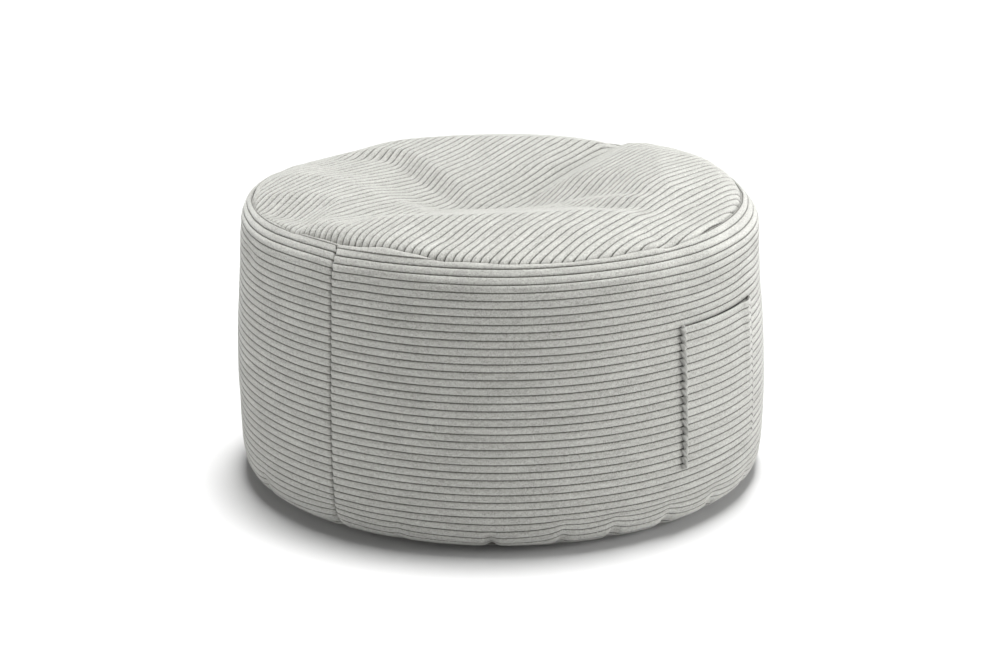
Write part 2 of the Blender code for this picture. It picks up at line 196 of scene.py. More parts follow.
# The filling under the top panel, drawn by its crests and valleys. Each line is a chain of points
# in millimetres: x, y and the height above the top seam. The cloth is stretched between the lines.
FILLING_LINES = (
    # the rim, all the way round
    (
        (0, -280, 3), (72, -270, 2), (118, -254, 2), (161, -229, 2.5), (198, -198, 3),
        (228, -162, 3.5), (260, -103, 4.5), (277, -40, 9), (280, 40, 14), (255, 120, 14),
        (205, 190, 11), (152, 235, 0), (80, 268, 2), (0, 280, 2), (-80, 268, 1), (-150, 236, 0),
        (-205, 190, 0), (-250, 126, 1), (-275, 50, 8), (-280, -15, 9), (-274, -60, -5),
        (-258, -110, -4), (-228, -162, 5), (-208, -187, 12), (-180, -214, 15), (-144, -240, 13),
        (-120, -253, 6), (-91, -265, 9), (-63, -273, 9), (-24, -279, 4), (0, -280, 3),
    ),
    # the front puff: its crest, two lines of its apron down to the seam, and the floor behind it
    (
        (-205, -170, 13), (-180, -178, 15), (-157, -186, 16.5), (-137, -182, 20), (-112, -176, 24),
        (-80, -178, 24.5), (0, -170, 24.5), (50, -160, 23.3), (90, -150, 22.5), (120, -148, 20),
        (143, -148, 16.5), (170, -150, 9), (205, -155, 5),
    ),
    (
        (-90, -200, 20), (-50, -203, 18.5), (-10, -205, 19.5), (30, -203, 19.5), (70, -198, 18),
        (110, -195, 13), (150, -170, 11),
    ),
    (
        (-172, -195, 17.5), (-135, -212, 17), (-100, -225, 14.5), (-50, -230, 11.5), (0, -232, 13),
        (80, -220, 12), (150, -185, 8.5),
    ),
    ((-120, -115, 6), (-50, -95, 4), (20, -85, 4), (60, -65, 4)),
    # the hollow in the middle
    ((-70, -20, -13), (-20, -15, -14), (30, -10, -14)),
    # the front left: a crest from the rim that bends round to the front puff, the dip inside the
    # bend, and the valley outside it
    (
        (-262, -32, 9), (-232, -42, 13), (-207, -48, 14.5), (-182, -50, 15), (-176, -68, 14.5),
        (-178, -90, 14), (-184, -116, 13), (-186, -145, 13.5), (-180, -178, 15),
    ),
    ((-160, -163, 12.5), (-163, -138, 10), (-150, -115, 7), (-125, -105, 4)),
    ((-248, -80, -4), (-226, -98, -2), (-213, -125, 1.5), (-212, -150, 4)),
    # the left: a crest from the rim to the middle, and the fall behind it
    (
        (-228, 38, 15.5), (-203, 25, 16), (-185, 8, 15.7), (-166, -6, 14), (-142, -22, 9.8),
        (-115, -30, 2.5),
    ),
    ((-215, 100, 8), (-228, 70, 12.5), (-228, 38, 15.5)),
    ((-190, 62, 11), (-165, 85, 8.5), (-140, 60, 6), (-118, 30, 0)),
    # the back left: a valley from the rim to the middle, and the steep face of the back puff
    (
        (-250, 126, 2), (-215, 128, 6), (-182, 130, 7), (-152, 133, 6), (-130, 128, 4.5),
        (-114, 102, 1), (-97, 68, -3.5), (-76, 38, -8), (-58, 10, -12), (-45, -8, -14),
    ),
    (
        (-205, 152, 5), (-183, 152, 9), (-160, 153, 13.5), (-136, 150, 16), (-106, 134, 15.5),
        (-82, 96, 11.5), (-62, 66, 6), (-48, 40, 0), (-36, 15, -6),
    ),
    # the back puff and its slope to the middle
    ((-150, 170, 13), (-120, 185, 17), (-50, 190, 20), (50, 190, 19.5), (112, 190, 14)),
    ((-30, 110, 8), (20, 105, 6.5), (50, 110, 6)),
    # the back right: a gully from the rim to the middle, and the steep face of the right puff
    (
        (142, 210, -1), (119, 164, 3), (94, 122, 0.5), (72, 90, -3.5), (54, 60, -7.5),
        (40, 30, -11), (30, 0, -14),
    ),
    (
        (150, 178, 15), (140, 138, 16), (122, 104, 16), (103, 74, 14.5), (88, 50, 12.5),
        (78, 30, 8), (75, 10, 2),
    ),
    # the right puff: its near side, crest and shoulder
    ((156, 120, 20.5), (148, 50, 21.5), (150, -15, 24), (160, -50, 22.5)),
    ((174, 182, 14.5), (182, 110, 22), (182, 40, 25.5), (183, -15, 26), (186, -50, 23)),
    ((224, 90, 20), (234, 10, 18), (234, -50, 11)),
    # the right puff's front edge, the foot of it, and the crease in front of it
    (
        (55, -18, -8), (80, -35, 2), (105, -56, 10), (130, -76, 17), (170, -88, 17),
        (200, -98, 10.5), (235, -112, 5),
    ),
    ((92, -17, 0), (117, -42, 9), (143, -60, 16), (176, -74, 18), (215, -85, 8.5)),
    ((65, -55, 1), (93, -86, 7), (125, -102, 10), (160, -116, 12.5), (200, -134, 5.5)),
)
LINE_STEP = 0.009
FILLING_GRID = 0.00125
FILLING_REACH = 0.300
FILLING_SOFTNESS = 0.0034
# Powers of the share of the seam's radius, by which the crown drops to the seam, hangs and swells.
CROWN_SHOULDER = 26
SEAM_DROP_SHOULDER = 9
SWELL_SHOULDER = 3
# The hidden top of the filled solid: its depth under the crown, and how far it may rise inwards.
CAP_UNDER_CROWN = 0.009
CAP_RISE = 0.05
CAP_RINGS = 24


def wale_profile(phase, end=0.0):
    """Height of a wale from 0 in its grooves, at whole phases, to 1 on its crest: a rounded top
    with steep narrow sides. End is 0 along the wale and 1 at its very end, which is rounded too."""
    across = np.abs(2.0 * (phase - np.floor(phase)) - 1.0)
    return np.sqrt(np.clip(1.0 - across**WALE_ROUNDNESS - end**2, 0.0, 1.0))


def smooth_step(value, low, high):
    """0 below low, 1 above high, and an even S between them."""
    share = np.clip((value - low) / (high - low), 0.0, 1.0)
    return share * share * (3.0 - 2.0 * share)


def degrees_from(angle, middle):
    """How many degrees an angle in radians lies past a middle in degrees, from -180 to 180."""
    return (np.degrees(angle) - middle + 180.0) % 360.0 - 180.0


def blur_matrix(places, spread, turn=None):
    """A matrix that blurs values at even places by a bell of this spread. Turn is the length of a
    full turn, for places that meet themselves."""
    apart = np.abs(places[:, None] - places[None, :])
    if turn is not None:
        apart = np.minimum(apart, turn - apart)
    bell = np.exp(-0.5 * (apart / spread) ** 2)
    return bell / bell.sum(axis=1, keepdims=True)


def seam_drop_table():
    """The hang of the top seam every half degree, in metres, with its corners blurred."""
    turns, drops = np.array(SEAM_DROPS, dtype=float).T
    places = np.arange(0.0, 360.0, 0.5)
    table = np.interp(places, turns % 360.0, drops, period=360.0) / 1000.0
    return places, blur_matrix(places, SEAM_DROP_SOFTNESS, 360.0) @ table


seam_drop_places, seam_drop_values = seam_drop_table()


def seam_drop(angle):
    """How far the top seam hangs at an angle, with two small ripples from stitch to stitch."""
    drop = np.interp(np.degrees(angle) % 360.0, seam_drop_places, seam_drop_values, period=360.0)
    for height, turns, start in SEAM_RIPPLES:
        drop = drop + height * np.sin(turns * angle + start)
    return drop


def soft_outline():
    """The outline as finely spaced points, rounded by a running mean along its length. Returns the
    run down from the turned edge, the radii and the heights."""
    heights, radii = np.array(SIDE_OUTLINE)[::-1].T
    run = np.concatenate([[0.0], np.cumsum(np.hypot(np.diff(heights), np.diff(radii)))])
    fine = np.arange(0.0, run[-1], OUTLINE_STEP)
    reach = int(OUTLINE_SMOOTHING / OUTLINE_STEP / 2)
    kernel = np.ones(2 * reach + 1) / (2 * reach + 1)
    rounded = []
    for values in (radii, heights):
        even = np.interp(fine, run, values)
        rounded.append(np.convolve(np.pad(even, reach, mode="edge"), kernel, mode="valid"))
    steps = np.hypot(np.diff(rounded[0]), np.diff(rounded[1]))
    return np.concatenate([[0.0], np.cumsum(steps)]), rounded[0], rounded[1]


outline_run, outline_radii, outline_heights = soft_outline()
below_ridge = outline_run > outline_run[np.argmax(outline_heights)]
first_groove_run = np.interp(
    -FIRST_GROOVE_HEIGHT, -outline_heights[below_ridge], outline_run[below_ridge]
)


def wale_rows():
    """Runs down the outline at which the band has rows of points, and the wale phase at each: the
    same few stations in every wale, so that no groove falls between two rows. The hidden part of
    the turned edge has a row at the grooves only."""
    first = int(math.ceil(-first_groove_run / WALE_PITCH))
    last = int(math.floor((outline_run[-1] - first_groove_run) / WALE_PITCH))
    phase = (np.arange(first, last)[:, None] + np.array(WALE_STATIONS)).ravel()
    phase = phase[(phase > FIRST_SHOWN_PHASE) | (phase == np.floor(phase))]
    return first_groove_run + phase * WALE_PITCH, phase


def side_point(run, angle):
    """Radius and height on the band at a run down its outline and an angle round the axis. The
    outline hangs with the top seam, swells and dents with the filling, and is tucked at the base.
    A hanging seam slides the outline down over the wales, which keep their heights."""
    hanging = smooth_step(run, *HANG_STARTS) * (1.0 - smooth_step(run, *HANG_ENDS))
    slid = seam_drop(angle) * hanging
    radius = np.interp(run - slid, outline_run, outline_radii)
    height = np.interp(run - slid, outline_run, outline_heights) - slid
    for middle, half_width, heights, extra in SWELLS:
        bell = np.exp(-((degrees_from(angle, middle) / half_width) ** 2))
        radius = radius + bell * np.interp(height, heights, extra)
    for middle, middle_height, half_turn, half_height, dent, _ in SIDE_DENTS:
        away = degrees_from(angle, middle) / half_turn
        bell = np.exp(-(away**2) - ((height - middle_height) / half_height) ** 2)
        radius = radius - dent * bell
    low = 1.0 - smooth_step(height, BASE_HEIGHT, TUCK_NOTCH_TOP)
    for middle, _, _, _, depth in BASE_TUCKS:
        away = np.radians(degrees_from(angle, middle)) * BELT_RADIUS
        notch = np.exp(-((away / TUCK_NOTCH_HALF_WIDTH) ** 2))
        radius = radius - TUCK_NOTCH_STRENGTH * depth * low * notch
    return radius, height


def wale_run(run, angle):
    """Where a wale that would lie at this run lies at this angle: it strays a little, sags where
    the side is soft, and rises to each tuck at the base."""
    placed = run
    for share, turns, length, start in WALE_STRAY_WAVES:
        placed = placed + WALE_STRAY * share * np.sin(turns * angle + run / length + start)
    height = np.interp(run, outline_run, outline_heights)
    for middle, middle_height, half_turn, half_height, _, sag in SIDE_DENTS:
        away = degrees_from(angle, middle) / half_turn
        placed = placed + sag * np.exp(-(away**2) - ((height - middle_height) / half_height) ** 2)
    low = 1.0 - smooth_step(height, TUCK_FULL_HEIGHT, TUCK_TOP)
    low = low * smooth_step(height, BASE_HEIGHT, TUCK_FULL_HEIGHT)
    for middle, rise, before, after, _ in BASE_TUCKS:
        away = degrees_from(angle, middle)
        reach = np.where(away < 0.0, before, after)
        peak = np.exp(-np.sqrt((away / reach) ** 2 + TUCK_PEAK_ROUNDING))
        placed = placed - TUCK_RISE_STRENGTH * rise * low * peak
    return placed


def line_points(line):
    """Points every few millimetres along a smooth curve through a line's own points: each stretch
    is the cubic that leaves and arrives along its neighbours' directions."""
    given = np.array(line, dtype=float) / 1000.0
    padded = np.concatenate([[2 * given[0] - given[1]], given, [2 * given[-1] - given[-2]]])
    stretches = []
    for before, start, stop, after in zip(padded, padded[1:], padded[2:], padded[3:]):
        count = max(1, round(math.dist(start[:2], stop[:2]) / LINE_STEP))
        share = (np.arange(count) / count)[:, None]
        linear_part = 2 * start + (stop - before) * share
        square_part = (2 * before - 5 * start + 4 * stop - after) * share**2
        cube_part = (3 * start - before - 3 * stop + after) * share**3
        stretches.append(0.5 * (linear_part + square_part + cube_part))
    return np.concatenate([*stretches, given[-1:]])


def filling_table():
    """Heights of the filling above the top seam on an even grid: the lines' points are joined in
    triangles, each triangle is filled flat, and the whole is blurred a little."""
    points = np.concatenate([line_points(line) for line in FILLING_LINES])
    plan = [mathutils.Vector(point) for point in points[:, :2]]
    joined = mathutils.geometry.delaunay_2d_cdt(plan, [], [], 0, 1e-5)
    corners = np.array([tuple(corner) for corner in joined[0]])
    heights = points[[sources[0] for sources in joined[3]], 2]
    places = np.arange(-FILLING_REACH, FILLING_REACH + FILLING_GRID / 2, FILLING_GRID)
    table = np.zeros((len(places), len(places)))
    for triangle in joined[2]:
        first, second, third = corners[list(triangle)]
        low = np.floor((np.min([first, second, third], axis=0) + FILLING_REACH) / FILLING_GRID)
        high = np.ceil((np.max([first, second, third], axis=0) + FILLING_REACH) / FILLING_GRID)
        columns = np.arange(int(low[0]), int(high[0]) + 1)
        rows = np.arange(int(low[1]), int(high[1]) + 1)
        x, y = np.meshgrid(places[columns] - first[0], places[rows] - first[1])
        (ax, ay), (bx, by) = second - first, third - first
        size = ax * by - bx * ay
        if abs(size) < 1e-9:
            continue
        to_second = (x * by - bx * y) / size
        to_third = (ax * y - x * ay) / size
        inside = (to_second > -1e-6) & (to_third > -1e-6) & (to_second + to_third < 1 + 1e-6)
        flat = heights[list(triangle)]
        height = flat[0] + to_second * (flat[1] - flat[0]) + to_third * (flat[2] - flat[0])
        block = table[rows[0] : rows[-1] + 1, columns[0] : columns[-1] + 1]
        block[inside] = height[inside]
    blur = blur_matrix(places, FILLING_SOFTNESS)
    return blur @ table @ blur.T


filling_heights = filling_table()


def filling_height(x, y):
    """The filling's height above the top seam, between the four nearest places of its grid."""
    last = len(filling_heights) - 1.001
    column = np.clip((x + FILLING_REACH) / FILLING_GRID, 0.0, last)
    row = np.clip((y + FILLING_REACH) / FILLING_GRID, 0.0, last)
    left, low = column.astype(int), row.astype(int)
    right_share, high_share = column - left, row - low
    lower = filling_heights[low, left] * (1.0 - right_share)
    lower = lower + filling_heights[low, left + 1] * right_share
    upper = filling_heights[low + 1, left] * (1.0 - right_share)
    upper = upper + filling_heights[low + 1, left + 1] * right_share
    return lower * (1.0 - high_share) + upper * high_share


def crown_height(x, y):
    """The top panel's surface: the filling, which drops steeply to the seam at its edge, and the
    hang of the seam, which fades away from it."""
    share = np.clip(np.hypot(x, y) / TOP_SEAM_RADIUS, 0.0, 1.0)
    drop = seam_drop(np.arctan2(x, -y)) * share**SEAM_DROP_SHOULDER
    return TOP_SEAM_HEIGHT - drop + filling_height(x, y) * (1.0 - share**CROWN_SHOULDER)


def swollen(x, y):
    """Plan points of the top, moved out where the top seam's ring is wider than a circle."""
    angle = np.arctan2(x, -y)
    extra = np.zeros_like(angle)
    for middle, half_width, heights, amounts in SWELLS:
        bell = np.exp(-((degrees_from(angle, middle) / half_width) ** 2))
        extra = extra + bell * np.interp(TOP_SEAM_HEIGHT, heights, amounts)
    share = np.hypot(x, y) / TOP_SEAM_RADIUS
    wider = 1.0 + extra / TOP_SEAM_RADIUS * share**SWELL_SHOULDER
    return x * wider, y * wider


def around_axis(radius, angle, height):
    """Points at cylindrical coordinates, as an array that ends in x, y, z."""
    radius, angle, height = np.broadcast_arrays(radius, angle, height)
    return np.stack([radius * np.sin(angle), -radius * np.cos(angle), height], axis=-1)


def grid_quads(rows, columns, closed):
    """Corner numbers of the quads of a grid, row by row. A closed grid's last column meets its
    first. Also the grid places of the corners, which don't wrap."""
    row, column = np.meshgrid(np.arange(rows - 1), np.arange(columns - (not closed)), indexing="ij")
    corner_rows = np.stack([row, row, row + 1, row + 1], axis=-1).reshape(-1, 4)
    corner_columns = np.stack([column, column + 1, column + 1, column], axis=-1).reshape(-1, 4)
    return corner_rows * columns + corner_columns % columns, corner_rows, corner_columns


def cloth_object(name, points, quads, corner_uv, triangles=()):
    """A smooth mesh object from points, quads with a UV at each corner, and plain triangles."""
    triangles = np.asarray(triangles, dtype=int).reshape(-1, 3)
    mesh = bpy.data.meshes.new(name)
    corners = np.concatenate([quads.ravel(), triangles.ravel()])
    sizes = np.concatenate([np.full(len(quads), 4), np.full(len(triangles), 3)])
    mesh.vertices.add(len(points))
    mesh.vertices.foreach_set("co", points.astype(np.float32).ravel())
    mesh.loops.add(len(corners))
    mesh.loops.foreach_set("vertex_index", corners.astype(np.int32))
    mesh.polygons.add(len(sizes))
    mesh.polygons.foreach_set("loop_start", (np.cumsum(sizes) - sizes).astype(np.int32))
    mesh.polygons.foreach_set("loop_total", sizes.astype(np.int32))
    uv = np.zeros((len(corners), 2), dtype=np.float32)
    uv[: quads.size] = corner_uv.reshape(-1, 2)
    mesh.uv_layers.new(name="wales").data.foreach_set("uv", uv.ravel())
    mesh.update(calc_edges=True)
    mesh.validate()
    mesh.shade_smooth()
    made = bpy.data.objects.new(name, mesh)
    bpy.context.scene.collection.objects.link(made)
    return made


def grid_object(name, points, uv):
    """A cloth object from an open grid of points with a UV at each."""
    quads, rows, columns = grid_quads(*points.shape[:2], closed=False)
    return cloth_object(name, points.reshape(-1, 3), quads[:, ::-1], uv[rows, columns][:, ::-1])


def linear(colour):
    """An sRGB hex colour as linear RGBA: a straight line near black, and a power of 2.4 above."""
    channels = [int(colour[place : place + 2], 16) / 255 for place in (1, 3, 5)]
    return (*[c / 12.92 if c <= 0.04045 else ((c + 0.055) / 1.055) ** 2.4 for c in channels], 1.0)


def add_node(tree, kind, inputs=None, **settings):
    """Adds a node: its own settings, and for each input a value or the output it is fed from."""
    made = tree.nodes.new(kind)
    for name, value in settings.items():
        setattr(made, name, value)
    for socket, value in (inputs or {}).items():
        if isinstance(value, bpy.types.NodeSocket):
            tree.links.new(value, made.inputs[socket])
        else:
            made.inputs[socket].default_value = value
    return made


# What mottles the pile. The tufts are drawn coarser than real cut pile so that they show.
PILE_TONES = (
    # laid out on, cell along and across the wales in metres, detail, share of the whole tone
    ("wales", (0.0012, 0.0016, 0.0016), 4.0, 0.52),  # tufts
    ("wales", (0.0040, 0.0034, 0.0034), 1.0, 0.24),  # specks, where a few tufts lean together
    ("wales", (0.0200, 0.0040, 0.0040), 2.0, 0.10),  # streaks along the wales
    ("wales", (0.0600, WALE_PITCH, WALE_PITCH), 0.0, 0.08),  # wales lighter or darker as a whole
    ("body", (0.030, 0.030, 0.030), 2.0, 0.06),  # broad patches, as a hand leaves them
)
PILE_TONE_RANGE = (0.32, 0.68)
# Beside a groove, in wales: how far the tufts make the edge of the painted shade uneven, and the
# distances from it between which the painted shade in the groove gives way to the pile's colour.
GROOVE_SHADE_STRAY = 0.16
GROOVE_SHADE_EDGE = (0.09, 0.22)
TUFT_HEIGHT = 0.0006


def corduroy(name, light, dark, groove_shade):
    """Cotton corduroy, woven with cut pile: matt, with a soft bloom at glancing angles. The pile is
    mottled where it leans different ways and finely grained. Its grooves take the darker groove
    shade colour, painted shade where the pile parts. UV runs in metres along and across the wales."""
    made = bpy.data.materials.new(name)
    made.use_nodes = True
    tree = made.node_tree
    shader = tree.nodes["Principled BSDF"]
    uv = add_node(tree, "ShaderNodeUVMap", uv_map="wales").outputs["UV"]
    layouts = {"wales": uv, "body": add_node(tree, "ShaderNodeTexCoord").outputs["Object"]}
    tone = 0.0
    noises = []
    for layout, cell, detail, share in PILE_TONES:
        scale = tuple(1 / length for length in cell)
        mapping = {"Vector": layouts[layout], "Scale": scale}
        mapped = add_node(tree, "ShaderNodeMapping", mapping).outputs[0]
        cells = {"Vector": mapped, "Scale": 1.0, "Detail": detail, "Roughness": 0.6}
        noises.append(add_node(tree, "ShaderNodeTexNoise", cells).outputs[0])
        weighed = {0: noises[-1], 1: share, 2: tone}
        tone = add_node(tree, "ShaderNodeMath", weighed, operation="MULTIPLY_ADD").outputs[0]
    tufts = noises[0]
    low, high = PILE_TONE_RANGE
    tones = {"Value": tone, "From Min": low, "From Max": high}
    spread = add_node(tree, "ShaderNodeMapRange", tones).outputs[0]
    colours = {0: spread, 6: linear(dark), 7: linear(light)}
    pile = add_node(tree, "ShaderNodeMix", colours, data_type="RGBA").outputs[2]
    across = add_node(tree, "ShaderNodeSeparateXYZ", {0: uv}).outputs["Y"]
    wales = add_node(tree, "ShaderNodeMath", {0: across, 1: WALE_PITCH}, operation="DIVIDE")
    halves = {0: wales.outputs[0], 1: 0.5}
    from_groove = add_node(tree, "ShaderNodeMath", halves, operation="PINGPONG").outputs[0]
    strayed = {0: tufts, 1: GROOVE_SHADE_STRAY, 2: from_groove}
    fuzzy = add_node(tree, "ShaderNodeMath", strayed, operation="MULTIPLY_ADD").outputs[0]
    shade_edges = {"Value": fuzzy, "From Min": GROOVE_SHADE_EDGE[0], "From Max": GROOVE_SHADE_EDGE[1]}
    shown = add_node(tree, "ShaderNodeMapRange", shade_edges, interpolation_type="SMOOTHSTEP")
    # Painted shade: the grooves take the darker groove shade colour.
    colours = {0: shown.outputs[0], 6: linear(groove_shade), 7: pile}
    cloth = add_node(tree, "ShaderNodeMix", colours, data_type="RGBA")
    tree.links.new(cloth.outputs[2], shader.inputs["Base Color"])
    raised = {"Height": tufts, "Strength": 1.0, "Distance": TUFT_HEIGHT}
    tree.links.new(add_node(tree, "ShaderNodeBump", raised).outputs[0], shader.inputs["Normal"])
    shader.inputs["Roughness"].default_value = 0.95
    shader.inputs["Specular IOR Level"].default_value = 0.15
    shader.inputs["Sheen Weight"].default_value = 0.25
    shader.inputs["Sheen Roughness"].default_value = 0.5
    return made


# The last colour is painted shade for the grooves.
pale_corduroy = corduroy("cotton corduroy, cut pile", "#bfbfba", "#797974", "#474641")


def band_columns():
    """Lengths round the belt at which the band has columns, from the upright seam back to it:
    close beside the seam, even over the front, and wider at the back, which is plainer."""
    length = 2.0 * math.pi * BELT_RADIUS
    near = np.array(SEAM_STEPS)
    front = (-FRONT_REACH - SEAM_ANGLE) % (2.0 * math.pi) * BELT_RADIUS
    front_end = (FRONT_REACH - SEAM_ANGLE) * BELT_RADIUS
    first = np.arange(near[-1] + FRONT_STEP, front_end, FRONT_STEP)
    back = np.arange(first[-1] + BACK_STEP, front, BACK_STEP)
    last = np.arange(back[-1] + FRONT_STEP, length - near[-1] - FRONT_STEP / 2, FRONT_STEP)
    return np.concatenate([near, first, back, last, length - near[::-1]]), length


def outline_slopes(run):
    """The radius and height gained in a short step down the outline, as parts of its length."""
    radius_step, height_step = (
        np.interp(run + SLOPE_STEP, outline_run, values)
        - np.interp(run - SLOPE_STEP, outline_run, values)
        for values in (outline_radii, outline_heights)
    )
    length = np.hypot(radius_step, height_step)
    return radius_step / length, height_step / length


def band_surface(along, length, run, phase):
    """Points on the band at lengths round the belt and runs down the outline. Each wale is sunk
    square to the outline at its grooves and its ends, and the upright seam is a furrow across
    them. The seam leans, and it scallops by a saw tooth at each wale."""
    from_seam = np.minimum(along, length - along)
    climb = WALE_CLIMB * WALE_PITCH * along / length
    free = smooth_step(run, *FREE_RUN) * (1.0 - smooth_step(run, run[-1] - FREE_END, run[-1]))
    angle = SEAM_ANGLE + along / BELT_RADIUS
    placed = run + free * (wale_run(run, angle) - run - climb)
    radius, height = side_point(placed, angle)
    lean = SEAM_SLANT * (1.0 - 2.0 * height / TOP_SEAM_HEIGHT)
    angle = angle + lean * np.exp(-((from_seam / SEAM_SLANT_REACH) ** 2))
    scallop = SEAM_SCALLOP * (phase - np.floor(phase) - 0.5)
    angle = angle + scallop / BELT_RADIUS * np.exp(-((from_seam / SEAM_SCALLOP_REACH) ** 2))
    end = np.clip(1.0 - from_seam / WALE_END, 0.0, 1.0)
    shown = smooth_step(run, *RIDGE_RUN) * (1.0 - smooth_step(run, run[-1] - RELIEF_END, run[-1]))
    sunk = WALE_RELIEF * (1.0 - wale_profile(phase, end)) * shown
    sunk = sunk + SEAM_DEPTH * np.exp(-((from_seam / SEAM_HALF_WIDTH) ** 2)) * shown
    radius_slope, height_slope = outline_slopes(placed)
    radius = radius + sunk * height_slope
    height = height - sunk * radius_slope
    return around_axis(radius, angle, np.maximum(height, BASE_HEIGHT))


def filled_cap(rim):
    """Rings of points from the middle out to the band's first row: shares of that row's plan, laid
    a little under the crown and never far above the row."""
    share = np.linspace(0.0, 1.0, CAP_RINGS + 2)[1:-1, None]
    x, y = share * rim[:, 0], share * rim[:, 1]
    height = np.minimum(crown_height(x, y) - CAP_UNDER_CROWN, rim[:, 2] + CAP_RISE * (1.0 - share))
    return np.stack([x, y, height], axis=-1)


def build_side_band():
    """The filled solid. Columns go round from the upright seam back to it, and rows follow the
    wales down from the turned edge. Fans of triangles close the cap and the base."""
    along, length = band_columns()
    run, phase = wale_rows()
    side = band_surface(along[None, :], length, run[:, None], phase[:, None])
    cap = filled_cap(side[0])
    rings = np.concatenate([cap, side])
    rows, columns = rings.shape[:2]
    poles = np.array([[0.0, 0.0, cap[0, :, 2].mean()], [0.0, 0.0, BASE_HEIGHT]])
    points = np.concatenate([rings.reshape(-1, 3), poles])
    quads, corner_rows, corner_columns = grid_quads(rows, columns, closed=True)
    ring_phase = np.concatenate([np.full(CAP_RINGS, phase[0] - 0.5), phase])
    uv_along = np.concatenate([along, [length]])
    corner_uv = np.stack([uv_along[corner_columns], ring_phase[corner_rows] * WALE_PITCH], axis=-1)
    place = np.arange(columns)
    beside = (place + 1) % columns
    low = (rows - 1) * columns
    top_pole = np.full(columns, rows * columns)
    top_fan = np.stack([top_pole, place, beside], axis=-1)
    base_fan = np.stack([top_pole + 1, low + beside, low + place], axis=-1)
    fans = np.concatenate([top_fan, base_fan])
    return cloth_object("side_band_cover", points, quads[:, ::-1], corner_uv[:, ::-1], fans)


side_band = build_side_band()
side_band.data.materials.append(pale_corduroy)
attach(side_band, "root")
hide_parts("side_band")


# Top panel: a round piece of the same corduroy, its wales straight across it, sewn to the band
# round its edge. It lies in the puffs and hollows of the filling and turns down into the seam,
# where its wales are gathered deeper.
WALE_TURN = math.radians(57)
TOP_FIRST_GROOVE = 0.25 * WALE_PITCH
TOP_RELIEF = 0.0025
TOP_STRAY = 0.00022
TOP_STRAY_FADE = 8
TOP_STRAY_WAVES = (
    # wave along and across the wales
    (0.021, 0.05),
    (0.037, -0.03),
)
# Rows of points: two at each end of the circle, this far inside it, and the wales' rows up to a
# little before them. The points of a row crowd towards its ends.
TOP_END_ROWS = (0.0006, 0.00005)
TOP_ROWS_END = 1.5 * TOP_END_ROWS[0]
TOP_COLUMNS = 176
EDGE_CROWDING = 0.80
# At the edge: the turn down into the seam, the gathers, and the strip whose plan stays as it is.
EDGE_DROP = 0.0065
EDGE_ROUNDING = 0.0018
EDGE_GATHER = 0.9
EDGE_GATHER_REACH = 0.008
EDGE_KEPT = 0.0015
TOP_SLOPE_STEP = 0.0015


def crown_slopes(x, y):
    """How steeply the crown rises along X and along Y."""
    step = TOP_SLOPE_STEP
    slope_x = (crown_height(x + step, y) - crown_height(x - step, y)) / (2 * step)
    slope_y = (crown_height(x, y + step) - crown_height(x, y - step)) / (2 * step)
    return slope_x, slope_y


def crowded(share, crowding):
    """Shares from -1 to 1, drawn towards both ends through a sine."""
    return np.sin(crowding * math.pi / 2 * share) / math.sin(crowding * math.pi / 2)


def top_surface(share, across, phase):
    """Points on the top panel at shares of the chords along its wales and at places across them,
    and those points' places along the chords. The wales stray in two crossed waves, are sunk square
    to the crown at their grooves, and are deeper where they are gathered at the edge, which turns
    down into the seam."""
    along_x, along_y = math.cos(WALE_TURN), math.sin(WALE_TURN)
    across_x, across_y = math.sin(WALE_TURN), -math.cos(WALE_TURN)
    edge = TOP_SEAM_RADIUS
    inner = np.abs(across) < edge - TOP_END_ROWS[0]
    along = crowded(share, EDGE_CROWDING) * np.sqrt(edge**2 - across**2)
    waves = sum(np.sin(along / long + across / wide) for long, wide in TOP_STRAY_WAVES)
    strayed = across + TOP_STRAY * waves * (1.0 - share**TOP_STRAY_FADE) * inner
    x = along * along_x + strayed * across_x
    y = along * along_y + strayed * across_y
    from_edge = np.clip(edge - np.hypot(x, y), 0.0, 1.0)
    height = crown_height(x, y)
    crossing = 1.0 - (across / edge) ** 2
    gather = 1.0 + EDGE_GATHER * crossing * np.exp(-from_edge / EDGE_GATHER_REACH)
    sunk = TOP_RELIEF * gather * (1.0 - wale_profile(phase))
    sunk = sunk * smooth_step(edge - np.abs(across), TOP_END_ROWS[0], WALE_PITCH)
    slope_x, slope_y = crown_slopes(x, y)
    tilt = np.sqrt(1.0 + slope_x**2 + slope_y**2)
    off_edge = smooth_step(from_edge, 0.0, EDGE_KEPT)
    x = x + sunk * slope_x / tilt * off_edge
    y = y + sunk * slope_y / tilt * off_edge
    height = height - sunk / tilt - EDGE_DROP * np.exp(-from_edge / EDGE_ROUNDING)
    return np.stack([*swollen(x, y), height], axis=-1), along


def build_top_panel():
    """The cloth over the crown. Rows run along the wales, at the same few stations in every wale
    and at both ends of the circle, and each is a chord of the circle."""
    edge = TOP_SEAM_RADIUS
    last = int(edge / WALE_PITCH) + 1
    phase = (np.arange(-last, last)[:, None] + np.array(WALE_STATIONS)).ravel()
    across = phase * WALE_PITCH + TOP_FIRST_GROOVE
    across = across[np.abs(across) < edge - TOP_ROWS_END]
    end_rows = edge - np.array(TOP_END_ROWS)
    across = np.concatenate([-end_rows[::-1], across, end_rows])[:, None]
    phase = (across - TOP_FIRST_GROOVE) / WALE_PITCH
    share = np.linspace(-1.0, 1.0, TOP_COLUMNS + 1)[None, :]
    points, along = top_surface(share, across, phase)
    uv = np.stack([along, np.broadcast_to(phase * WALE_PITCH, along.shape)], axis=-1)
    return grid_object("top_panel_cloth", points, uv)


top_panel = build_top_panel()
top_panel.data.materials.append(pale_corduroy)
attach(top_panel, "root")
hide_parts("top_panel")


# Base panel: a round piece of a plainer, harder-wearing corduroy that the stool stands on, pressed
# flat by the weight and sewn to the band round its edge.
BASE_RADIUS = 0.266
BASE_TOP = 0.0029
BASE_RELIEF = 0.0008
BASE_COLUMNS = 60
BASE_ROWS_END = 0.0002


